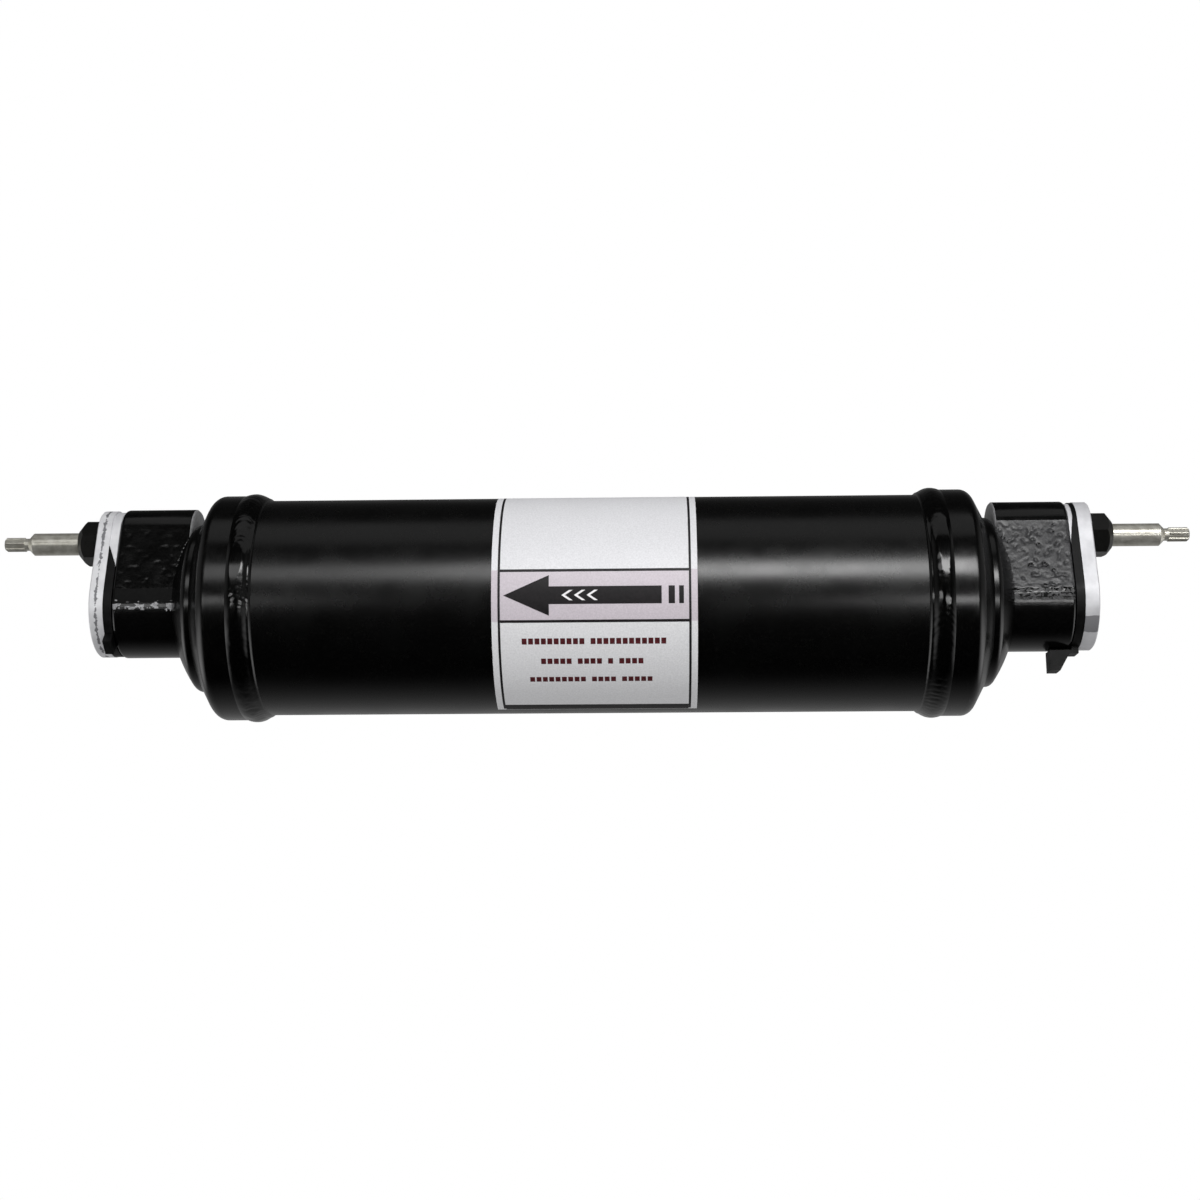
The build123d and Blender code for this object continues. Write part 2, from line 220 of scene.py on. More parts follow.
def ripple_tree():
    """Raises crescent ripples and an overlap on a bead that runs round the X axis.

    The ripples come and go along the bead and calm down on the overlap. Its edges stay put.
    """
    sizes = {
        "Pitch": 2.4 * mm,
        "Height": 0.12 * mm,
        "Roundness": 0.7,
        "Crescent": 1.5,
        "Wander": 2.4,
        "Unevenness": 0.5 * mm,
        "Highest Wander": 0.72,
        "Toe": weld_toe_x,
        "Width": weld_lap_x - weld_toe_x,
        "Foot Radius": tube_radius,
        "Rise": skirt_radius - tube_radius,
        "Top Radius": weld_top,
        "Edge Steepness": 2.2,
        "Overlap Angle": 0.35,
        "Overlap Width": 0.14,
        "Overlap Height": 0.5 * mm,
        "Overlap Calm": -0.25,
        "Seed": 0.0,
    }
    wander_size, patch_size, patch_seed_step = 7.0, 16.0, 3.0
    patch_low, patch_high, least_shown = 0.46, 0.72, 0.08
    tree = bpy.data.node_groups.new("weld_ripples", "GeometryNodeTree")
    tree.interface.new_socket("Geometry", in_out="INPUT", socket_type="NodeSocketGeometry")
    for name, value in sizes.items():
        socket = tree.interface.new_socket(name, in_out="INPUT", socket_type="NodeSocketFloat")
        socket.default_value = value
    tree.interface.new_socket("Material", in_out="INPUT", socket_type="NodeSocketMaterial")
    tree.interface.new_socket("Geometry", in_out="OUTPUT", socket_type="NodeSocketGeometry")
    given = tree.nodes.new("NodeGroupInput").outputs

    place = add_node(tree, "GeometryNodeInputPosition")
    split = add_node(tree, "ShaderNodeSeparateXYZ", {0: place}).outputs
    wander = add_node(
        tree,
        "ShaderNodeTexNoise",
        {"Vector": place, "W": given["Seed"], "Scale": per_mm(wander_size), "Detail": 2.0},
        noise_dimensions="4D",
    )
    patch_seed = add_node(
        tree, "ShaderNodeMath", {0: given["Seed"], 1: patch_seed_step}, operation="ADD"
    )
    patchy = add_node(
        tree,
        "ShaderNodeTexNoise",
        {"Vector": place, "W": patch_seed, "Scale": per_mm(patch_size), "Detail": 1.0},
        noise_dimensions="4D",
    )
    shown = add_node(
        tree,
        "ShaderNodeMapRange",
        {"From Min": patch_low, "From Max": patch_high, "To Min": least_shown},
        interpolation_type="SMOOTHSTEP",
    )

    # Each step names its result, its operation and what it takes: results, inputs or numbers.
    steps = (
        ("side", "ABSOLUTE", "X"),
        ("front", "MULTIPLY", "Y", -1.0),
        ("angle", "ARCTAN2", "Z", "front"),
        ("y squared", "POWER", "Y", 2.0),
        ("z squared", "POWER", "Z", 2.0),
        ("radius squared", "ADD", "y squared", "z squared"),
        ("radius", "SQRT", "radius squared"),
        ("from toe", "SUBTRACT", "side", "Toe"),
        ("across", "DIVIDE", "from toe", "Width"),
        ("chord", "MULTIPLY_ADD", "across", "Rise", "Foot Radius"),
        ("above chord", "SUBTRACT", "radius", "chord"),
        ("full height", "SUBTRACT", "Top Radius", "Foot Radius"),
        ("crown", "DIVIDE", "above chord", "full height"),
        ("steep crown", "MULTIPLY", "crown", "Edge Steepness"),
        ("not above one", "MINIMUM", "steep crown", 1.0),
        ("mask", "MAXIMUM", "not above one", 0.0),
        ("twice across", "MULTIPLY", "across", 2.0),
        ("off middle", "SUBTRACT", "twice across", 1.0),
        ("bow", "POWER", "off middle", 2.0),
        ("bend", "MULTIPLY", "bow", "Crescent"),
        ("drift", "MULTIPLY", "wander", "Wander"),
        ("shift", "ADD", "bend", "drift"),
        ("arc", "MULTIPLY", "angle", "Foot Radius"),
        ("count", "DIVIDE", "arc", "Pitch"),
        ("phase", "ADD", "count", "shift"),
        ("saw", "PINGPONG", "phase", 0.5),
        ("wave", "MULTIPLY", "saw", 2.0),
        ("ripple", "POWER", "wave", "Roundness"),
        ("past overlap", "SUBTRACT", "angle", "Overlap Angle"),
        ("from overlap", "ABSOLUTE", "past overlap"),
        ("widths away", "DIVIDE", "from overlap", "Overlap Width"),
        ("away squared", "POWER", "widths away", 2.0),
        ("falling", "MULTIPLY", "away squared", -1.0),
        ("lump", "POWER", math.e, "falling"),
        ("calm", "MULTIPLY", "lump", "Overlap Calm"),
        ("patches", "ADD", "patchy", "calm"),
        ("below crest", "SUBTRACT", "ripple", 1.0),
        ("deep", "MULTIPLY", "below crest", "Height"),
        ("rise", "MULTIPLY", "deep", "shown"),
        ("below highest", "SUBTRACT", "wander", "Highest Wander"),
        ("uneven", "MULTIPLY", "below highest", "Unevenness"),
        ("bare lift", "ADD", "rise", "uneven"),
        ("overlap", "MULTIPLY", "lump", "Overlap Height"),
        ("lift", "ADD", "bare lift", "overlap"),
        ("masked lift", "MULTIPLY", "lift", "mask"),
        ("wanted", "ADD", "radius", "masked lift"),
        ("held", "MINIMUM", "wanted", "Top Radius"),
        ("grow", "DIVIDE", "held", "radius"),
        ("grown y", "MULTIPLY", "Y", "grow"),
        ("grown z", "MULTIPLY", "Z", "grow"),
    )
    known = {socket.name: socket for socket in (*given, *split)}
    known.update({"wander": wander, "patchy": patchy, "shown": shown})
    for result, operation, *taken in steps:
        sockets = {socket: known.get(value, value) for socket, value in enumerate(taken)}
        known[result] = add_node(tree, "ShaderNodeMath", sockets, operation=operation)
    tree.links.new(known["patches"].outputs[0], shown.inputs["Value"])

    grown = add_node(
        tree, "ShaderNodeCombineXYZ", {"X": split["X"], "Y": known["grown y"], "Z": known["grown z"]}
    )
    moved = add_node(
        tree, "GeometryNodeSetPosition", {"Geometry": given["Geometry"], "Position": grown}
    )
    real = add_node(tree, "GeometryNodeRealizeInstances", {"Geometry": moved})
    ended = add_node(
        tree, "GeometryNodeSetMaterial", {"Geometry": real, "Material": given["Material"]}
    )
    add_node(tree, "NodeGroupOutput", {"Geometry": ended})
    return tree


def through_tree(name, mesh, tree, settings, sharp_angle):
    """Runs a mesh through a tree with these inputs and returns the finished piece."""
    holder = bpy.data.objects.new(name + "_maker", mesh)
    bpy.context.scene.collection.objects.link(holder)
    modifier = holder.modifiers.new("shape", "NODES")
    modifier.node_group = tree
    sockets = {s.name: s.identifier for s in tree.interface.items_tree if s.in_out == "INPUT"}
    for label, value in settings.items():
        modifier[sockets[label]] = value
    bpy.context.view_layer.update()
    evaluated = holder.evaluated_get(bpy.context.evaluated_depsgraph_get())
    made = bpy.data.meshes.new_from_object(evaluated)
    bpy.data.objects.remove(holder)
    return finish_mesh(name, made, sharp_angle)


def bead_outline():
    """The bead's closed section: an arch from toe to lap, with a roll along the toe."""
    bead_points = 26
    toe_roll, toe_width = 0.3 * mm, 0.5 * mm
    root_lift = 0.05 * mm
    bulge = weld_top - (tube_radius + skirt_radius) / 2
    bead = [(weld_toe_x, tube_radius)]
    for step in range(1, bead_points):
        share = step / bead_points
        from_toe = share * (weld_lap_x - weld_toe_x)
        arch = share * (skirt_radius - tube_radius) + bulge * 4 * share * (1 - share)
        roll = toe_roll * math.exp(-(((from_toe - toe_width) / toe_width) ** 2))
        bead.append((weld_toe_x + from_toe, tube_radius + arch + roll))
    bead.append((weld_lap_x, skirt_radius))
    bead.append((skirt_edge_x, tube_radius + root_lift))
    bead.append((skirt_edge_x, tube_radius))
    return bead


bead_turns = 900
weld_enamel = satin_enamel("black_enamel_on_weld", 1.1, 0.004, 0.12, 0.19)
ripples = ripple_tree()
for end, side, overlap, seed in (("inlet", 1, 0.33, 2.0), ("outlet", -1, 0.2, 7.0)):
    bead = turn_mesh([(side * x, r) for x, r in bead_outline()], bead_turns)
    settings = {"Seed": seed, "Overlap Angle": overlap, "Material": weld_enamel}
    piece = through_tree("weld_bead_" + end, bead, ripples, settings, sharp_angle=50)
    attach(piece, "root")
    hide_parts("girth_weld_" + end)


# ---- The fitting blocks --------------------------------------------------------------------
# Forged steel blocks, brazed into the domes, under a thin coat. Their lobes are machined. The
# inlet's flats keep a pitted skin and a flash line, and are painted pale grey for the light
# they catch. The outlet's are smoother, with a line of chipped paint whose pale colour is both
# bare steel and a painted highlight. The sawn back faces are partly painted pale for light.
block_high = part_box("fitting_block_inlet")[1]
nut_low, nut_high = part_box("lock_nut_inlet")
stud_z = (nut_low.z + nut_high.z) / 2
port_lobe = block_high.y
stud_lobe = block_high.z - stud_z
flank_lean = math.asin((port_lobe - stud_lobe) / stud_z)
flat_bottom = port_lobe * math.sin(flank_lean)
flat_top = stud_z + stud_lobe * math.sin(flank_lean)
flank_reach = 0.9 * stud_lobe
slice_pitch = 0.45 * mm
grid_below, grid_above = 11 * mm, 1 * mm
low_fade, high_fade, top_fade = 2 * mm, 2.5 * mm, 1.5 * mm
skin_below, skin_fade = 3 * mm, 5 * mm
flash_line = flat_bottom - 2.3 * mm
flash_height, flash_width = 0.18 * mm, 0.8 * mm
rough_below_flash = 4.6 * mm
# The chip line lies where the key light glints on the outlet's flats: chips and painted highlight.
chip_glint_line = flat_bottom - 6.4 * mm
chip_glint_width = 1.6 * mm
dull_low, dull_high = chip_glint_line + 1 * mm, flat_bottom - 0.3 * mm
flat_face, chip_glint_face, back_face, dull_face = range(1, 5)
# The least cosine between a face and the flat for the face to be cut, sunk or marked.
cut_turn, sink_turn, mark_turn = 0.88, 0.97, 0.75


def forged_enamel(name, colour_low, colour_high, gloss_low, gloss_high, shine=0.5):
    """Thin enamel over a steel block: grit in the bump, and high spots rubbed paler."""
    material, tree, places = new_material(name)
    grit = add_node(
        tree,
        "ShaderNodeTexNoise",
        {"Vector": places, "Scale": per_mm(0.7), "Detail": 4.0, "Roughness": 0.65},
    )
    colour = add_node(
        tree, "ShaderNodeValToRGB", {"Fac": grit}, [(0.4, colour_low), (0.75, colour_high)]
    )
    wear = add_node(tree, "ShaderNodeTexNoise", {"Vector": places, "Scale": per_mm(5.0), "Detail": 3.0})
    gloss = add_node(tree, "ShaderNodeValToRGB", {"Fac": wear}, [(0.35, gloss_low), (0.7, gloss_high)])
    normal = add_node(tree, "ShaderNodeBump", {"Height": grit, "Distance": 0.02 * mm})
    finish_material(
        tree,
        {
            "Base Color": colour,
            "Roughness": gloss,
            "Normal": normal,
            "IOR": 1.5,
            "Specular IOR Level": shine,
        },
    )
    return material


def forged_depth(x, z, roughness, offset):
    """How deep the forging's skin lies below the true flat, in metres."""
    broad_size, fine_size, pit_size = 3.0, 0.9, 1.9
    mean_depth, broad_depth, fine_depth, pit_depth = 0.12, 0.11, 0.07, 1.3
    pit_shift, pit_start = Vector((9.1, 3.3, 0)), 0.15
    place = Vector((x, z, offset)) / mm
    broad = noise.fractal(place / broad_size, 1.0, 2.0, 3)
    fine = noise.fractal(place / fine_size, 1.0, 2.0, 2)
    pit = max(0.0, noise.noise(place / pit_size + pit_shift) - pit_start)
    return roughness * mm * (mean_depth + broad_depth * broad + fine_depth * fine + pit_depth * pit)


def flank_geometry(made, facing, side):
    """One flat and the start of the rounds beside it, as the corners, edges and faces to cut."""
    faces = []
    for face in made.faces:
        if face.normal.dot(facing) > cut_turn and side * face.calc_center_median().y > flank_reach:
            faces.append(face)
    edges = dict.fromkeys(edge for face in faces for edge in face.edges)
    verts = dict.fromkeys(vert for face in faces for vert in face.verts)
    return [*verts, *edges, *faces]


def slice_flank(made, low, high, facing, side):
    """Cuts one flank into a fine grid, along the can and up the flat."""
    grid_bottom = flat_bottom - grid_below
    rows = int((flat_top + grid_above - grid_bottom) / slice_pitch)
    columns = int((high.x - low.x) / slice_pitch)
    cuts = [((low.x + cut * slice_pitch, 0, 0), (1, 0, 0)) for cut in range(1, columns)]
    cuts += [((0, 0, grid_bottom + cut * slice_pitch), (0, 0, 1)) for cut in range(rows)]
    for place, normal in cuts:
        flank = flank_geometry(made, facing, side)
        bmesh.ops.bisect_plane(made, geom=flank, plane_co=place, plane_no=normal, dist=1e-7)


def sink_flank(made, low, high, facing, side, roughness, offset):
    """Sinks one flank to the forging's skin, and raises the flash line on it."""
    flash_mean, flash_sway, flash_size = 0.8, 0.5, 2 * mm
    for vert in {v for f in made.faces if f.normal.dot(facing) > sink_turn for v in f.verts}:
        x, y, z = vert.co
        if side * y < flank_reach:
            continue
        fade = min(1.0, (x - low.x) / low_fade, (high.x - x) / high_fade, (flat_top - z) / top_fade)
        below = max(0.0, (flat_bottom - skin_below - z) / skin_fade)
        fade = max(0.0, fade) * max(0.0, 1 - below)
        flash = flash_height * math.exp(-(((z - flash_line) / flash_width) ** 2))
        sway = noise.noise(Vector((x / flash_size, offset, side)))
        flash *= roughness * (flash_mean + flash_sway * sway)
        vert.co += facing * fade * (flash - forged_depth(x, z, roughness, offset + side * 40 * mm))
    made.normal_update()


def finish_flank(made, facing, side, chip_glints, offset):
    """Marks one flank's faces as forged flat, chip (bare steel and painted highlight) or dull enamel."""
    wear_and_light_along, wear_and_light_up = 1.5 * mm, 0.8 * mm
    least_line, least_wear_and_light, wear_and_light_sway, sway_rate = 0.2, 0.98, 0.3, 1.3
    for face in made.faces:
        x, y, z = face.calc_center_median()
        if face.normal.dot(facing) < mark_turn or side * y < flank_reach:
            continue
        wear_and_light = noise.fractal(Vector((x / wear_and_light_along, z / wear_and_light_up, offset + side)), 1.0, 2.0, 3)
        line = math.exp(-(((z - chip_glint_line) / chip_glint_width) ** 2))
        small = face.calc_area() < 2 * slice_pitch**2
        needed = least_wear_and_light + wear_and_light_sway * math.sin(x / mm * sway_rate)
        if chip_glints and small and line > least_line and wear_and_light + line > needed:
            face.material_index = chip_glint_face
        elif chip_glints and dull_low < z < dull_high:
            face.material_index = dull_face
        elif flash_line < z < flat_top:
            face.material_index = flat_face
        # On the inlet, patchy faces below the flash line take the pale finish, which is painted light.
        elif not chip_glints and flash_line - rough_below_flash < z <= flash_line and wear_and_light > 0.0:
            face.material_index = flat_face


def forged_block(name, node_name, roughness, chip_glints, offset):
    """The CAD block with its flats cut into a fine grid and sunk to the forging's skin."""
    made = bmesh.new()
    made.from_mesh(nodes[node_name].data)
    bmesh.ops.remove_doubles(made, verts=made.verts, dist=1e-6)
    low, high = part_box(node_name)
    for side in (-1, 1):
        facing = Vector((0, side * math.cos(flank_lean), math.sin(flank_lean)))
        slice_flank(made, low, high, facing, side)
        sink_flank(made, low, high, facing, side, roughness, offset)
        finish_flank(made, facing, side, chip_glints, offset)
    # The back faces take the sawn finish, whose pale grey is partly painted light.
    back_x = min(abs(low.x), abs(high.x)) + 1 * mm
    for face in made.faces:
        if abs(face.normal.x) > 0.5 and abs(face.calc_center_median().x) < back_x:
            face.material_index = back_face
    mesh = bpy.data.meshes.new(name)
    made.to_mesh(mesh)
    made.free()
    return finish_mesh(name, mesh, sharp_angle=32)


lobe_enamel = forged_enamel("black_enamel_on_machined_steel", "#040404", "#0c0c0c", 0.15, 0.22)
# Pale grey painted in for the light the inlet's pitted flats catch; same enamel as the outlet's.
pale_lit_enamel = forged_enamel("black_enamel_on_forging_painted_pale", "#222223", "#48484a", 0.34, 0.46)
flat_enamel = forged_enamel("black_enamel_on_forging", "#030303", "#0a0a0a", 0.15, 0.21)
# Pale chips: part bare steel under chipped paint, part painted highlight of the key light.
chipped_and_glint = forged_enamel("chipped_enamel_with_painted_highlight", "#6e6e70", "#b4b4b6", 0.35, 0.5)
dull_enamel = forged_enamel("dull_black_enamel", "#020202", "#070707", 0.5, 0.62, 0.16)
# Thin enamel on sawn steel, painted pale grey partly for the light the back faces catch.
sawn_painted_pale = forged_enamel("thin_enamel_on_sawn_steel_painted_pale", "#6a6a6b", "#939394", 0.4, 0.5)
for end, roughness, chip_glints, offset, flat_finish in (
    ("inlet", 1.0, False, 0.11, pale_lit_enamel),
    ("outlet", 0.12, True, 0.53, flat_enamel),
):
    piece = forged_block("forged_block_" + end, "fitting_block_" + end, roughness, chip_glints, offset)
    for finish in (lobe_enamel, flat_finish, chipped_and_glint, sawn_painted_pale, dull_enamel):
        piece.data.materials.append(finish)
    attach(piece, "root")
    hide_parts("fitting_block_" + end)


# ---- The studs -----------------------------------------------------------------------------
# Turned steel studs, screwed into the blocks, in bright zinc plate.
# They carry the cover plates and their nuts.
def bright_zinc():
    """Bright zinc plate: silver with a warm cast, over the faint rings that turning left."""
    material, tree, places = new_material("bright_zinc_plate")
    stretched = add_node(tree, "ShaderNodeMapping", {"Vector": places, "Scale": (1.0, 0.08, 0.08)})
    rings = add_node(tree, "ShaderNodeTexNoise", {"Vector": stretched, "Scale": per_mm(0.35)})
    stain = add_node(
        tree,
        "ShaderNodeTexNoise",
        {"Vector": places, "Scale": per_mm(3.0), "Detail": 3.0, "Roughness": 0.6},
    )
    colour = add_node(tree, "ShaderNodeValToRGB", {"Fac": stain}, [(0.35, "#b9b6ab"), (0.7, "#d8d6cd")])
    gloss = add_node(tree, "ShaderNodeValToRGB", {"Fac": stain}, [(0.3, 0.28), (0.75, 0.38)])
    normal = add_node(tree, "ShaderNodeBump", {"Height": rings, "Distance": 0.002 * mm})
    finish_material(tree, {"Base Color": colour, "Metallic": 0.75, "Roughness": gloss, "Normal": normal})
    return material


zinc = bright_zinc()
for end in ("inlet", "outlet"):
    dress("stud_" + end, zinc)


# ---- The lock nuts -------------------------------------------------------------------------
# Steel nuts, each a hexagon with a short cone on top, in matt black phosphate.
# They are screwed down the studs, against the cover plates.
def black_phosphate():
    """Matt black phosphate, with crystals drawn coarser than real so that they show."""
    material, tree, places = new_material("matt_black_phosphate")
    crystals = add_node(
        tree,
        "ShaderNodeTexNoise",
        {"Vector": places, "Scale": per_mm(0.4), "Detail": 3.0, "Roughness": 0.6},
    )
    colour = add_node(
        tree, "ShaderNodeValToRGB", {"Fac": crystals}, [(0.4, "#060605"), (0.75, "#161513")]
    )
    gloss = add_node(tree, "ShaderNodeValToRGB", {"Fac": crystals}, [(0.35, 0.3), (0.7, 0.45)])
    normal = add_node(tree, "ShaderNodeBump", {"Height": crystals, "Distance": 0.02 * mm})
    finish_material(
        tree,
        {
            "Base Color": colour,
            "Roughness": gloss,
            "Normal": normal,
            "IOR": 1.5,
            "Specular IOR Level": 0.35,
        },
    )
    return material


phosphate = black_phosphate()
for end in ("inlet", "outlet"):
    dress("lock_nut_" + end, phosphate)


# ---- The cover plates ----------------------------------------------------------------------
# Blanked aluminium plates, which hold the rubber caps on for transport. The outlet's cut edge
# has a torn band along its middle. Low on the inlet's rim lies a dark patch of painted reflection.
plate_low, plate_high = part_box("cover_plate_inlet")
plate_thickness = 5 * mm
plate_back_x = plate_high.x - plate_thickness
plate_middle = plate_high.x - plate_thickness / 2
# Height and reach of the painted dark reflection low on the inlet plate's rim.
reflection_height = plate_low.z + 7.4 * mm
reflection_reach = 2.5 * mm
rim_radius = -plate_low.z - 0.3 * mm


def torn_band(tree, places):
    """Where a ragged band runs along the middle of the outlet plate's cut edge."""
    along = add_node(tree, "ShaderNodeSeparateXYZ", {0: places}).outputs["X"]
    off = add_node(tree, "ShaderNodeMath", {0: along, 1: plate_middle}, operation="ADD")
    off = add_node(tree, "ShaderNodeMath", {0: off}, operation="ABSOLUTE")
    ragged = add_node(
        tree,
        "ShaderNodeTexNoise",
        {"Vector": places, "Scale": per_mm(1.6), "Detail": 4.0, "Roughness": 0.7},
    )
    reach = add_node(
        tree, "ShaderNodeMath", {0: ragged, 1: 3.6 * mm, 2: -1.45 * mm}, operation="MULTIPLY_ADD"
    )
    return add_node(tree, "ShaderNodeMath", {0: reach, 1: off}, operation="GREATER_THAN")


def rim_painted_reflection(tree, places):
    """Where a dark patch of painted reflection with uneven ends lies, low on the inlet plate's rim."""
    up = add_node(tree, "ShaderNodeSeparateXYZ", {0: places}).outputs["Z"]
    ragged = add_node(
        tree,
        "ShaderNodeTexNoise",
        {"Vector": places, "Scale": per_mm(2.0), "Detail": 3.0, "Roughness": 0.6},
    )
    height = add_node(
        tree, "ShaderNodeMath", {0: ragged, 1: 1.6 * mm, 2: up}, operation="MULTIPLY_ADD"
    )
    off = add_node(tree, "ShaderNodeMath", {0: height, 1: reflection_height}, operation="SUBTRACT")
    off = add_node(tree, "ShaderNodeMath", {0: off}, operation="ABSOLUTE")
    inside = add_node(tree, "ShaderNodeMath", {0: off, 1: reflection_reach}, operation="LESS_THAN")
    outward = add_node(tree, "ShaderNodeVectorMath", {0: places, 1: (0, 1, 1)}, operation="MULTIPLY")
    outward = add_node(tree, "ShaderNodeVectorMath", {0: outward}, operation="LENGTH")
    rim = add_node(
        tree, "ShaderNodeMath", {0: outward.outputs["Value"], 1: rim_radius}, operation="GREATER_THAN"
    )
    return add_node(tree, "ShaderNodeMath", {0: inside, 1: rim}, operation="MULTIPLY")


def cut_aluminium(name, colour_low, colour_high, mark, mark_colour):
    """Blanked aluminium: cloudy and streaked, darker on a torn band (outlet) and a painted reflection
    (inlet).
    """
    material, tree, places = new_material(name)
    streaks = add_node(tree, "ShaderNodeMapping", {"Vector": places, "Scale": (0.12, 1.0, 1.0)})
    tears = add_node(
        tree,
        "ShaderNodeTexNoise",
        {"Vector": streaks, "Scale": per_mm(0.5), "Detail": 3.0, "Roughness": 0.6},
    )
    cloud = add_node(
        tree,
        "ShaderNodeTexNoise",
        {"Vector": places, "Scale": per_mm(6.0), "Detail": 3.0, "Roughness": 0.55},
    )
    bare = add_node(tree, "ShaderNodeValToRGB", {"Fac": cloud}, [(0.3, colour_low), (0.7, colour_high)])
    marked = {0: mark(tree, places), 6: bare, 7: linear(mark_colour)}
    colour = add_node(tree, "ShaderNodeMix", marked, data_type="RGBA").outputs[2]
    gloss = add_node(tree, "ShaderNodeValToRGB", {"Fac": cloud}, [(0.3, 0.5), (0.7, 0.42)])
    normal = add_node(tree, "ShaderNodeBump", {"Height": tears, "Distance": 0.02 * mm})
    finish_material(tree, {"Base Color": colour, "Metallic": 0.35, "Roughness": gloss, "Normal": normal})
    return material


# The inlet plate is darkened low on its rim by a painted reflection.
plate_with_painted_reflection = cut_aluminium("blanked_aluminium", "#bebec1", "#d6d6d9", rim_painted_reflection, "#808083")
torn = cut_aluminium("torn_blanked_aluminium", "#cbcbce", "#e4e4e6", torn_band, "#77777a")
dress("cover_plate_inlet", plate_with_painted_reflection)
dress("cover_plate_outlet", torn)


# ---- The rubber caps -----------------------------------------------------------------------
# Moulded black rubber caps that plug the ports. The lip of each is squeezed between block
# and plate, and shows as a dark wedge round their edge.
def moulded_rubber():
    """Dull black rubber with a pale bloom, and a mould texture drawn coarse enough to show."""
    material, tree, places = new_material("moulded_black_rubber")
    bloom = add_node(
        tree,
        "ShaderNodeTexNoise",
        {"Vector": places, "Scale": per_mm(4.0), "Detail": 4.0, "Roughness": 0.6},
    )
    colour = add_node(tree, "ShaderNodeValToRGB", {"Fac": bloom}, [(0.4, "#040404"), (0.8, "#101010")])
    gloss = add_node(tree, "ShaderNodeValToRGB", {"Fac": bloom}, [(0.35, 0.42), (0.7, 0.6)])
    texture = add_node(tree, "ShaderNodeTexNoise", {"Vector": places, "Scale": per_mm(0.5)})
    normal = add_node(tree, "ShaderNodeBump", {"Height": texture, "Distance": 0.01 * mm})
    finish_material(
        tree,
        {
            "Base Color": colour,
            "Roughness": gloss,
            "Normal": normal,
            "IOR": 1.5,
            "Specular IOR Level": 0.2,
        },
    )
    return material


rubber = moulded_rubber()
for end in ("inlet", "outlet"):
    dress("port_cap_" + end, rubber)

lip_outer, lip_inner = 0.45 * mm, 1.3 * mm
lip_gap = plate_back_x - block_high.x
lip_turns = 120
inlet_thin_from, inlet_thin_over = 18.5 * mm, 20 * mm
outlet_end, outlet_wedge = 20.5 * mm, 7.6 * mm


def teardrop_point(turn, inset):
    """The (across, up) point where the block's outline, moved in by an inset, faces a turn."""
    normal = Vector((math.cos(turn), math.sin(turn)))
    on_stud_lobe = flank_lean < turn < math.pi - flank_lean
    lobe, height = (stud_lobe, stud_z) if on_stud_lobe else (port_lobe, 0)
    return Vector((0, height)) + normal * (lobe - inset)


def lip_stations():
    """Pairs of outer and inner points round the teardrop, about a millimetre apart."""
    turns = [math.radians(360 / lip_turns * step) - math.pi / 2 for step in range(lip_turns)]
    corners = [(teardrop_point(turn, lip_outer), teardrop_point(turn, lip_inner)) for turn in turns]
    stations = []
    for here, there in zip(corners, corners[1:] + corners[:1]):
        parts = max(1, int((there[0] - here[0]).length / mm))
        for part in range(parts):
            share = part / parts
            stations.append((here[0].lerp(there[0], share), here[1].lerp(there[1], share)))
    return stations


def rubber_lip(name, side, thickness):
    """The cap's lip against the plate, as thick as thickness(z) at each height."""
    made = bmesh.new()
    rings = []
    for outer, inner in lip_stations():
        thick = thickness(outer.y)
        back, front = plate_back_x, plate_back_x - thick
        corners = ((front, outer), (back, outer), (back, inner), (front, inner))
        rings.append([made.verts.new((side * x, p.x, p.y)) for x, p in corners] if thick > 0 else None)
    for here, there in zip(rings, rings[1:] + rings[:1]):
        if here and there:
            for corner in range(4):
                after = (corner + 1) % 4
                made.faces.new((here[corner], there[corner], there[after], here[after]))
        elif here or there:
            made.faces.new(here or there)
    mesh = bpy.data.meshes.new(name)
    made.to_mesh(mesh)
    made.free()
    piece = finish_mesh(name, mesh, sharp_angle=40)
    piece.data.materials.append(rubber)
    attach(piece, "root")


def inlet_lip(z):
    """Fills the gap low down, and thins towards half of it at the top."""
    return lip_gap * min(1.0, max(0.5, 1 - (z - inlet_thin_from) / inlet_thin_over))


def outlet_lip(z):
    """Fills the gap low down, and ends in a wedge part of the way up."""
    return lip_gap * min(1.0, (outlet_end - z) / outlet_wedge)


rubber_lip("cap_lip_inlet", 1, inlet_lip)
rubber_lip("cap_lip_outlet", -1, outlet_lip)


# ---- The label -----------------------------------------------------------------------------
# A silver polyester film, stuck round the front. It is printed in near-black with a frame,
# three rules and a flow arrow with white chevrons, and in maroon with three rows of marks. The
# lowest rule is drawn wide: a printed line with painted shade along the film's lower edge.
label_low, label_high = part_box("label")
film_radius = -label_low.y
film_foot = tube_radius + 0.01 * mm
film_angles = (-82.0, 73.0)
ink_height = 0.012 * mm
film_top = film_radius - 3 * ink_height
ink_top = film_top + ink_height
wrap_step = 1.2 * mm


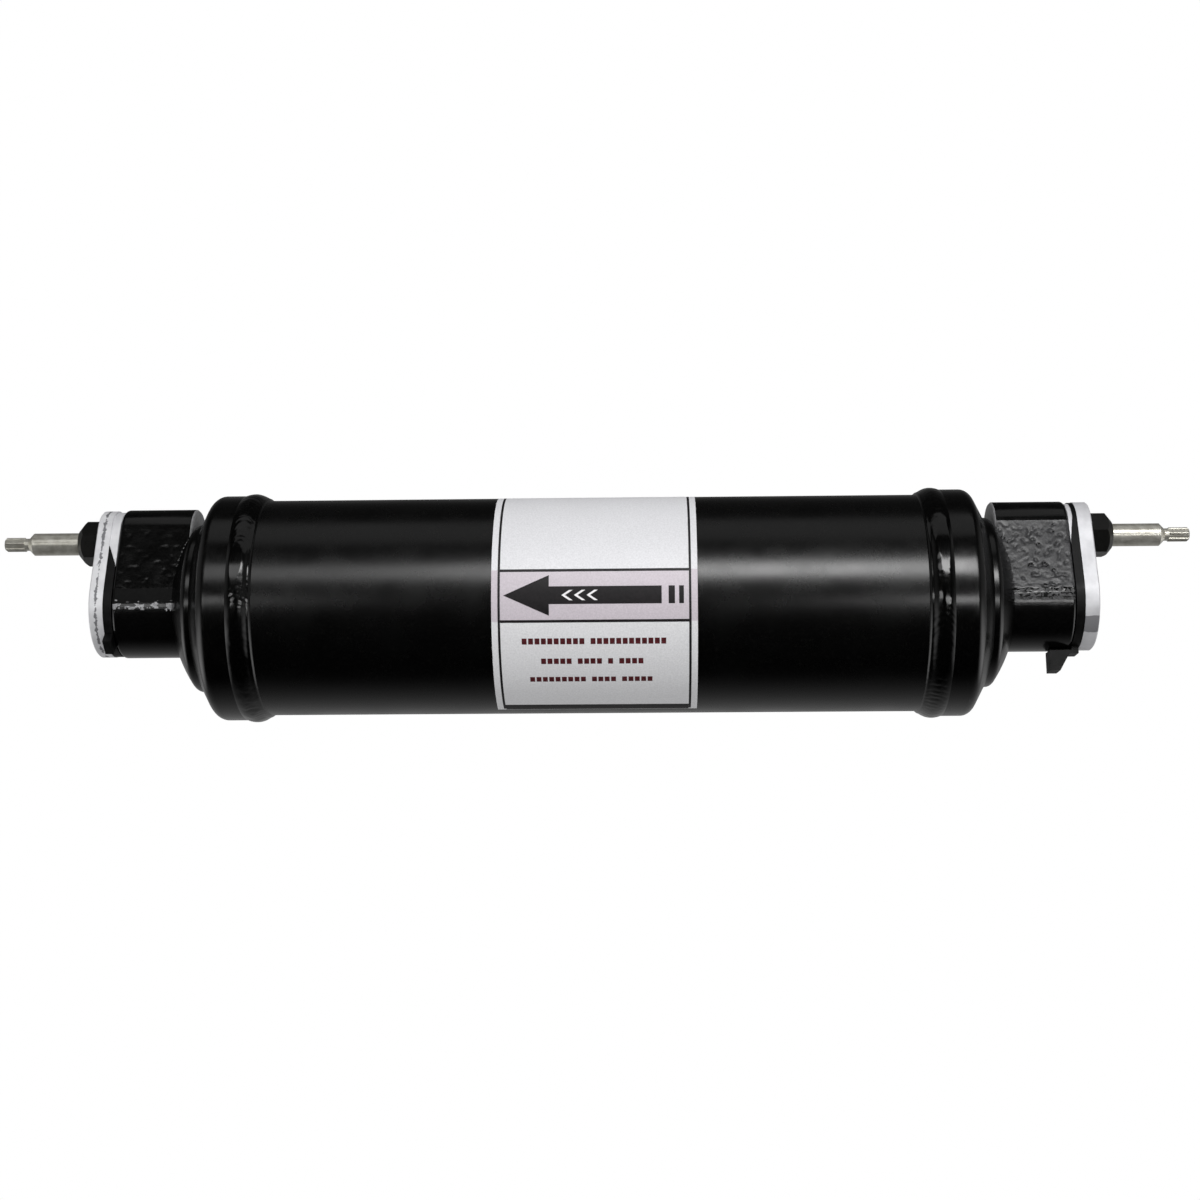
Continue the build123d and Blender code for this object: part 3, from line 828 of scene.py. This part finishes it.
def wrapped(name, outlines, foot, top, material):
    """Flat outlines of (along, angle in degrees) points wrapped round the can as thin shells."""
    made = bmesh.new()
    for outline in outlines:
        flat = [(x, math.radians(angle) * film_radius, 0) for x, angle in outline]
        made.faces.new([made.verts.new(corner) for corner in flat])
    bmesh.ops.recalc_face_normals(made, faces=made.faces)
    low = min(v.co.y for v in made.verts)
    high = max(v.co.y for v in made.verts)
    for cut in range(1, int((high - low) / wrap_step) + 1):
        geometry = list(made.verts) + list(made.edges) + list(made.faces)
        place = (0, low + cut * wrap_step, 0)
        bmesh.ops.bisect_plane(made, geom=geometry, plane_co=place, plane_no=(0, 1, 0), dist=1e-7)
    raised = bmesh.ops.extrude_face_region(made, geom=list(made.faces))["geom"]
    raised = {v for v in raised if isinstance(v, bmesh.types.BMVert)}
    for vert in made.verts:
        radius = top if vert in raised else foot
        angle = vert.co.y / film_radius
        vert.co = (vert.co.x, -radius * math.cos(angle), radius * math.sin(angle))
    mesh = bpy.data.meshes.new(name)
    made.to_mesh(mesh)
    made.free()
    piece = finish_mesh(name, mesh, sharp_angle=30)
    piece.data.materials.append(material)
    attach(piece, "root")
    return piece


def strip(x_low, x_high, angle_low, angle_high):
    """A rectangle on the can between two places along it and two angles."""
    return [(x_low, angle_low), (x_high, angle_low), (x_high, angle_high), (x_low, angle_high)]


def silver_film():
    """Pearly silver film, greyer in the arrow's band, with its grain drawn coarse enough to show."""
    material, tree, places = new_material("silver_polyester_film")
    grain = add_node(tree, "ShaderNodeTexNoise", {"Vector": places, "Scale": per_mm(0.5)})
    cloud = add_node(
        tree, "ShaderNodeTexNoise", {"Vector": places, "Scale": per_mm(12.0), "Detail": 3.0}
    )
    height = add_node(tree, "ShaderNodeSeparateXYZ", {0: places}).outputs["Z"]
    share = add_node(
        tree, "ShaderNodeMapRange", {"Value": height, "From Min": -film_radius, "From Max": film_radius}
    )
    band_low, band_high = [(1 + math.sin(math.radians(angle))) / 2 for angle in (-19.6, 6.3)]
    edge = 0.002
    below, band, above = "#dcdcde", "#c3bbc2", "#d6d6d9"
    stops = [(band_low - edge, below), (band_low, band), (band_high, band), (band_high + edge, above)]
    tint = add_node(tree, "ShaderNodeValToRGB", {"Fac": share}, stops)
    speckle = add_node(tree, "ShaderNodeValToRGB", {"Fac": grain}, [(0.3, "#eeeeee"), (0.7, "#ffffff")])
    colour = add_node(
        tree, "ShaderNodeMix", {0: 1.0, 6: tint, 7: speckle}, data_type="RGBA", blend_type="MULTIPLY"
    ).outputs[2]
    gloss = add_node(tree, "ShaderNodeValToRGB", {"Fac": cloud}, [(0.3, 0.5), (0.7, 0.58)])
    normal = add_node(tree, "ShaderNodeBump", {"Height": cloud, "Distance": 0.01 * mm})
    finish_material(
        tree, {"Base Color": colour, "Roughness": gloss, "Metallic": 0.1, "Normal": normal, "IOR": 1.5}
    )
    return material


def printing_ink(name, low, high):
    """Screen ink on film: near matt, with a little mottle where it is thin."""
    material, tree, places = new_material(name)
    mottle = add_node(
        tree, "ShaderNodeTexNoise", {"Vector": places, "Scale": per_mm(0.8), "Detail": 3.0}
    )
    colour = add_node(tree, "ShaderNodeValToRGB", {"Fac": mottle}, [(0.35, low), (0.7, high)])
    gloss = add_node(tree, "ShaderNodeValToRGB", {"Fac": mottle}, [(0.35, 0.45), (0.7, 0.55)])
    finish_material(
        tree, {"Base Color": colour, "Roughness": gloss, "IOR": 1.5, "Specular IOR Level": 0.3}
    )
    return material


near_black = printing_ink("near_black_ink", "#100d10", "#1b171a")
maroon = printing_ink("maroon_ink", "#3c0c12", "#5a1a20")
white_ink = printing_ink("white_ink", "#d8d6d8", "#e8e6e8")

sheet = [strip(label_low.x, label_high.x, *film_angles)]
film = wrapped("label_film_sheet", sheet, film_foot, film_top, silver_film())
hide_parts("label")

frame_places, frame_width, frame_inset = (-30.4, 33.6), 0.8, 1.5
frame_low, frame_high = film_angles[0] + frame_inset, film_angles[1] - frame_inset
rule_gap = 0.01
rule_low = (frame_places[0] + frame_width + rule_gap) * mm
rule_high = (frame_places[1] - rule_gap) * mm
lines = [strip(x * mm, (x + frame_width) * mm, frame_low, frame_high) for x in frame_places]
# The lowest rule is wider than its print line: it adds painted shade along the film's lower edge.
for angle_low, angle_high in ((5.6, 7.0), (-20.3, -18.9), (-81.7, -75.0)):
    lines.append(strip(rule_low, rule_high, angle_low, angle_high))
wrapped("label_frame", lines, film_top, ink_top, near_black)

arrow_angle = -6.5
arrow_tip, arrow_neck, arrow_tail = -28.5 * mm, -13.2 * mm, 24.5 * mm
head, shaft = 10.3, 4.5
arrow = [
    (arrow_tip, arrow_angle),
    (arrow_neck, arrow_angle - head),
    (arrow_neck, arrow_angle - shaft),
    (arrow_tail, arrow_angle - shaft),
    (arrow_tail, arrow_angle + shaft),
    (arrow_neck, arrow_angle + shaft),
    (arrow_neck, arrow_angle + head),
]
bars = []
for low, high in ((26.8, 28.9), (30.3, 31.9)):
    bars.append(strip(low * mm, high * mm, arrow_angle - shaft, arrow_angle + shaft))
wrapped("label_arrow", [arrow] + bars, film_top, ink_top, near_black)

chevron_start, chevron_pitch = -9.0, 4.2
chevron_run, chevron_width, chevron_rise = 2.6 * mm, 1.2 * mm, 2.6
chevrons = []
for place in range(3):
    tip = (chevron_start + chevron_pitch * place) * mm
    tail = tip + chevron_run
    chevrons.append(
        [
            (tip, arrow_angle),
            (tail, arrow_angle - chevron_rise),
            (tail + chevron_width, arrow_angle - chevron_rise),
            (tip + chevron_width, arrow_angle),
            (tail + chevron_width, arrow_angle + chevron_rise),
            (tail, arrow_angle + chevron_rise),
        ]
    )
wrapped("label_chevrons", chevrons, ink_top, ink_top + ink_height, white_ink)

mark_width, mark_pitch, word_gap, mark_rise = 1.65, 2.15, 1.6, 1.6
mark_rows = ((-30.0, -22.5, (10, 12)), (-41.1, -16.2, (5, 4, 1, 4)), (-52.5, -20.2, (9, 4, 5)))
marks = []
for angle, x, words in mark_rows:
    for letters in words:
        for _ in range(letters):
            marks.append(strip(x * mm, (x + mark_width) * mm, angle - mark_rise, angle + mark_rise))
            x += mark_pitch
        x += word_gap
wrapped("label_marks", marks, film_top, ink_top, maroon)


# ---- The filling ---------------------------------------------------------------------------
# Inside the can: bare steel cups, spring and screen, white felt pads and tan desiccant beads.
# The spring presses them together.
def bare_steel():
    """Bare steel, with a faint haze in its gloss."""
    material, tree, places = new_material("bare_steel")
    haze = add_node(tree, "ShaderNodeTexNoise", {"Vector": places, "Scale": per_mm(5.0), "Detail": 3.0})
    colour = add_node(tree, "ShaderNodeValToRGB", {"Fac": haze}, [(0.3, "#8f8f90"), (0.7, "#a9a9ab")])
    gloss = add_node(tree, "ShaderNodeValToRGB", {"Fac": haze}, [(0.3, 0.3), (0.7, 0.42)])
    finish_material(tree, {"Base Color": colour, "Metallic": 1.0, "Roughness": gloss})
    return material


def needled_felt():
    """Off-white felt, with a nap of short fibres."""
    material, tree, places = new_material("needled_felt")
    fibres = add_node(
        tree,
        "ShaderNodeTexNoise",
        {"Vector": places, "Scale": per_mm(0.6), "Detail": 4.0, "Roughness": 0.7},
    )
    colour = add_node(tree, "ShaderNodeValToRGB", {"Fac": fibres}, [(0.3, "#cfcabd"), (0.7, "#e9e5da")])
    normal = add_node(tree, "ShaderNodeBump", {"Height": fibres, "Distance": 0.15 * mm})
    finish_material(tree, {"Base Color": colour, "Roughness": 0.95, "Normal": normal, "IOR": 1.5})
    return material


def molecular_sieve():
    """Tan desiccant beads, two millimetres across, as bumps on the bed."""
    material, tree, places = new_material("molecular_sieve_beads")
    bead_size = 2.0
    beads = add_node(tree, "ShaderNodeTexVoronoi", {"Vector": places, "Scale": per_mm(bead_size)})
    colour = add_node(tree, "ShaderNodeValToRGB", {"Fac": beads}, [(0.1, "#cdb793"), (0.7, "#7d6b4f")])
    height = add_node(tree, "ShaderNodeValToRGB", {"Fac": beads}, [(0.0, 1.0), (0.6, 0.0)])
    normal = add_node(tree, "ShaderNodeBump", {"Height": height, "Distance": 0.8 * mm})
    finish_material(tree, {"Base Color": colour, "Roughness": 0.85, "Normal": normal, "IOR": 1.5})
    return material


steel = bare_steel()
for name in ("retainer_cup_inlet", "retainer_cup_outlet", "pressure_spring", "outlet_screen"):
    dress(name, steel)
felt = needled_felt()
for end in ("inlet", "outlet"):
    dress("filter_pad_" + end, felt)
dress("desiccant_bed", molecular_sieve())


# ---- The floor, the light and the camera ---------------------------------------------------
# A plain white floor far below the part, two long softboxes above the front, a pale one
# overhead and two small ones low at the sides. The camera looks a little up at the label.
floor_height, floor_span = -1.2, 12.0
floor_corners = [(-1, -1), (1, -1), (1, 1), (-1, 1)]
floor_mesh = bpy.data.meshes.new("floor")
floor_mesh.from_pydata(
    [(x * floor_span, y * floor_span, floor_height) for x, y in floor_corners], [], [(0, 1, 2, 3)]
)
floor = bpy.data.objects.new("floor", floor_mesh)
bpy.context.scene.collection.objects.link(floor)
floor.visible_glossy = False
floor.visible_transmission = False
floor.visible_diffuse = False


def white_floor():
    """Plain white, as bright as the white behind it."""
    material, tree, _ = new_material("plain_white_sweep")
    glow = add_node(tree, "ShaderNodeEmission", {"Color": linear("#ffffff"), "Strength": 1.0})
    add_node(tree, "ShaderNodeOutputMaterial", {"Surface": glow})
    return material


floor.data.materials.append(white_floor())
floor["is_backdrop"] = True


def softbox(name, elevation, distance, along, size, watts):
    """An area light that faces the can's axis from an elevation above the front."""
    light = bpy.data.lights.new(name, "AREA")
    light.shape = "RECTANGLE"
    light.size, light.size_y = size
    light.energy = watts
    lamp = bpy.data.objects.new(name, light)
    angle = math.radians(elevation)
    lamp.location = (along, -distance * math.cos(angle), distance * math.sin(angle))
    lamp.rotation_euler = (math.radians(90) - angle, 0, 0)
    bpy.context.scene.collection.objects.link(lamp)


softbox("key_softbox", 24.3, 0.9, along=0.235, size=(0.66, 0.22), watts=4.8)
softbox("key_side_softbox", 24.3, 0.9, along=-0.27, size=(0.5, 0.22), watts=0.75)
softbox("overhead_softbox", 72.0, 0.8, along=0.05, size=(1.0, 0.42), watts=0.45)
softbox("right_low_softbox", -9.0, 0.95, along=0.44, size=(0.4, 0.11), watts=0.9)
softbox("left_low_softbox", -4.0, 0.95, along=-0.5, size=(0.36, 0.1), watts=0.5)


def studio_world():
    """White to the camera and even to matt faces. Gloss sees a sweep behind and side walls."""
    diffuse_fill, sweep_strength = 0.6, 0.35
    world = bpy.data.worlds.new("studio")
    world.use_nodes = True
    tree = world.node_tree
    tree.nodes.clear()
    path = add_node(tree, "ShaderNodeLightPath").outputs
    direction = add_node(tree, "ShaderNodeTexCoord").outputs["Generated"]
    split = add_node(tree, "ShaderNodeSeparateXYZ", {0: direction}).outputs
    aside = add_node(tree, "ShaderNodeMath", {0: split["X"]}, operation="ABSOLUTE")
    fades = []
    for value, from_low, from_high, to_low, to_high in (
        (split["Y"], -0.1, 0.95, 0.0, 1.0),
        (split["Z"], -0.2, 0.85, 1.0, 0.08),
        (aside, 0.6, 0.92, 0.0, 1.0),
        (split["Z"], -0.45, 0.05, 1.9, 0.25),
    ):
        fade = {"Value": value, "From Min": from_low, "From Max": from_high}
        fade.update({"To Min": to_low, "To Max": to_high})
        fades.append(add_node(tree, "ShaderNodeMapRange", fade, interpolation_type="SMOOTHSTEP"))
    behind, sweep_height, beside, wall_height = fades
    sweep = add_node(tree, "ShaderNodeMath", {0: behind, 1: sweep_height}, operation="MULTIPLY")
    sweep = add_node(tree, "ShaderNodeMath", {0: sweep, 1: sweep_strength}, operation="MULTIPLY")
    walls = add_node(tree, "ShaderNodeMath", {0: beside, 1: wall_height}, operation="MULTIPLY")
    seen = add_node(tree, "ShaderNodeMath", {0: sweep, 1: walls}, operation="MAXIMUM")
    shiny = add_node(
        tree,
        "ShaderNodeMath",
        {0: path["Is Glossy Ray"], 1: path["Is Transmission Ray"]},
        operation="MAXIMUM",
    )
    fill = add_node(tree, "ShaderNodeMix", {0: shiny, 2: diffuse_fill, 3: seen})
    strength = add_node(tree, "ShaderNodeMix", {0: path["Is Camera Ray"], 2: fill, 3: 1.0})
    background = add_node(
        tree, "ShaderNodeBackground", {"Color": linear("#ffffff"), "Strength": strength}
    )
    add_node(tree, "ShaderNodeOutputWorld", {"Surface": background})
    bpy.context.scene.world = world


studio_world()

camera_distance = 0.650
camera_drop = math.radians(12.0)
camera_yaw = -0.028
camera_roll = -0.0081
camera_aim = Vector((0.00284, 0, 0.00193))
sensor_width = 36.0
focal_share = 1834.0 / 1200.0
camera_data = bpy.data.cameras.new("camera")
camera_data.sensor_width = sensor_width
camera_data.lens = focal_share * sensor_width
camera_data.clip_start, camera_data.clip_end = 0.01, 50.0
camera = bpy.data.objects.new("camera", camera_data)
to_part = (Matrix.Rotation(camera_yaw, 3, "Z") @ Matrix.Rotation(-camera_drop, 3, "X")).transposed()
place = to_part @ (camera_aim - Vector((0, camera_distance, 0)))
turn = to_part @ Matrix.Rotation(math.radians(90), 3, "X") @ Matrix.Rotation(camera_roll, 3, "Z")
camera.matrix_world = Matrix.Translation(place) @ turn.to_4x4()
bpy.context.scene.collection.objects.link(camera)
bpy.context.scene.camera = camera
bpy.context.scene.view_settings.view_transform = "Standard"

low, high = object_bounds()
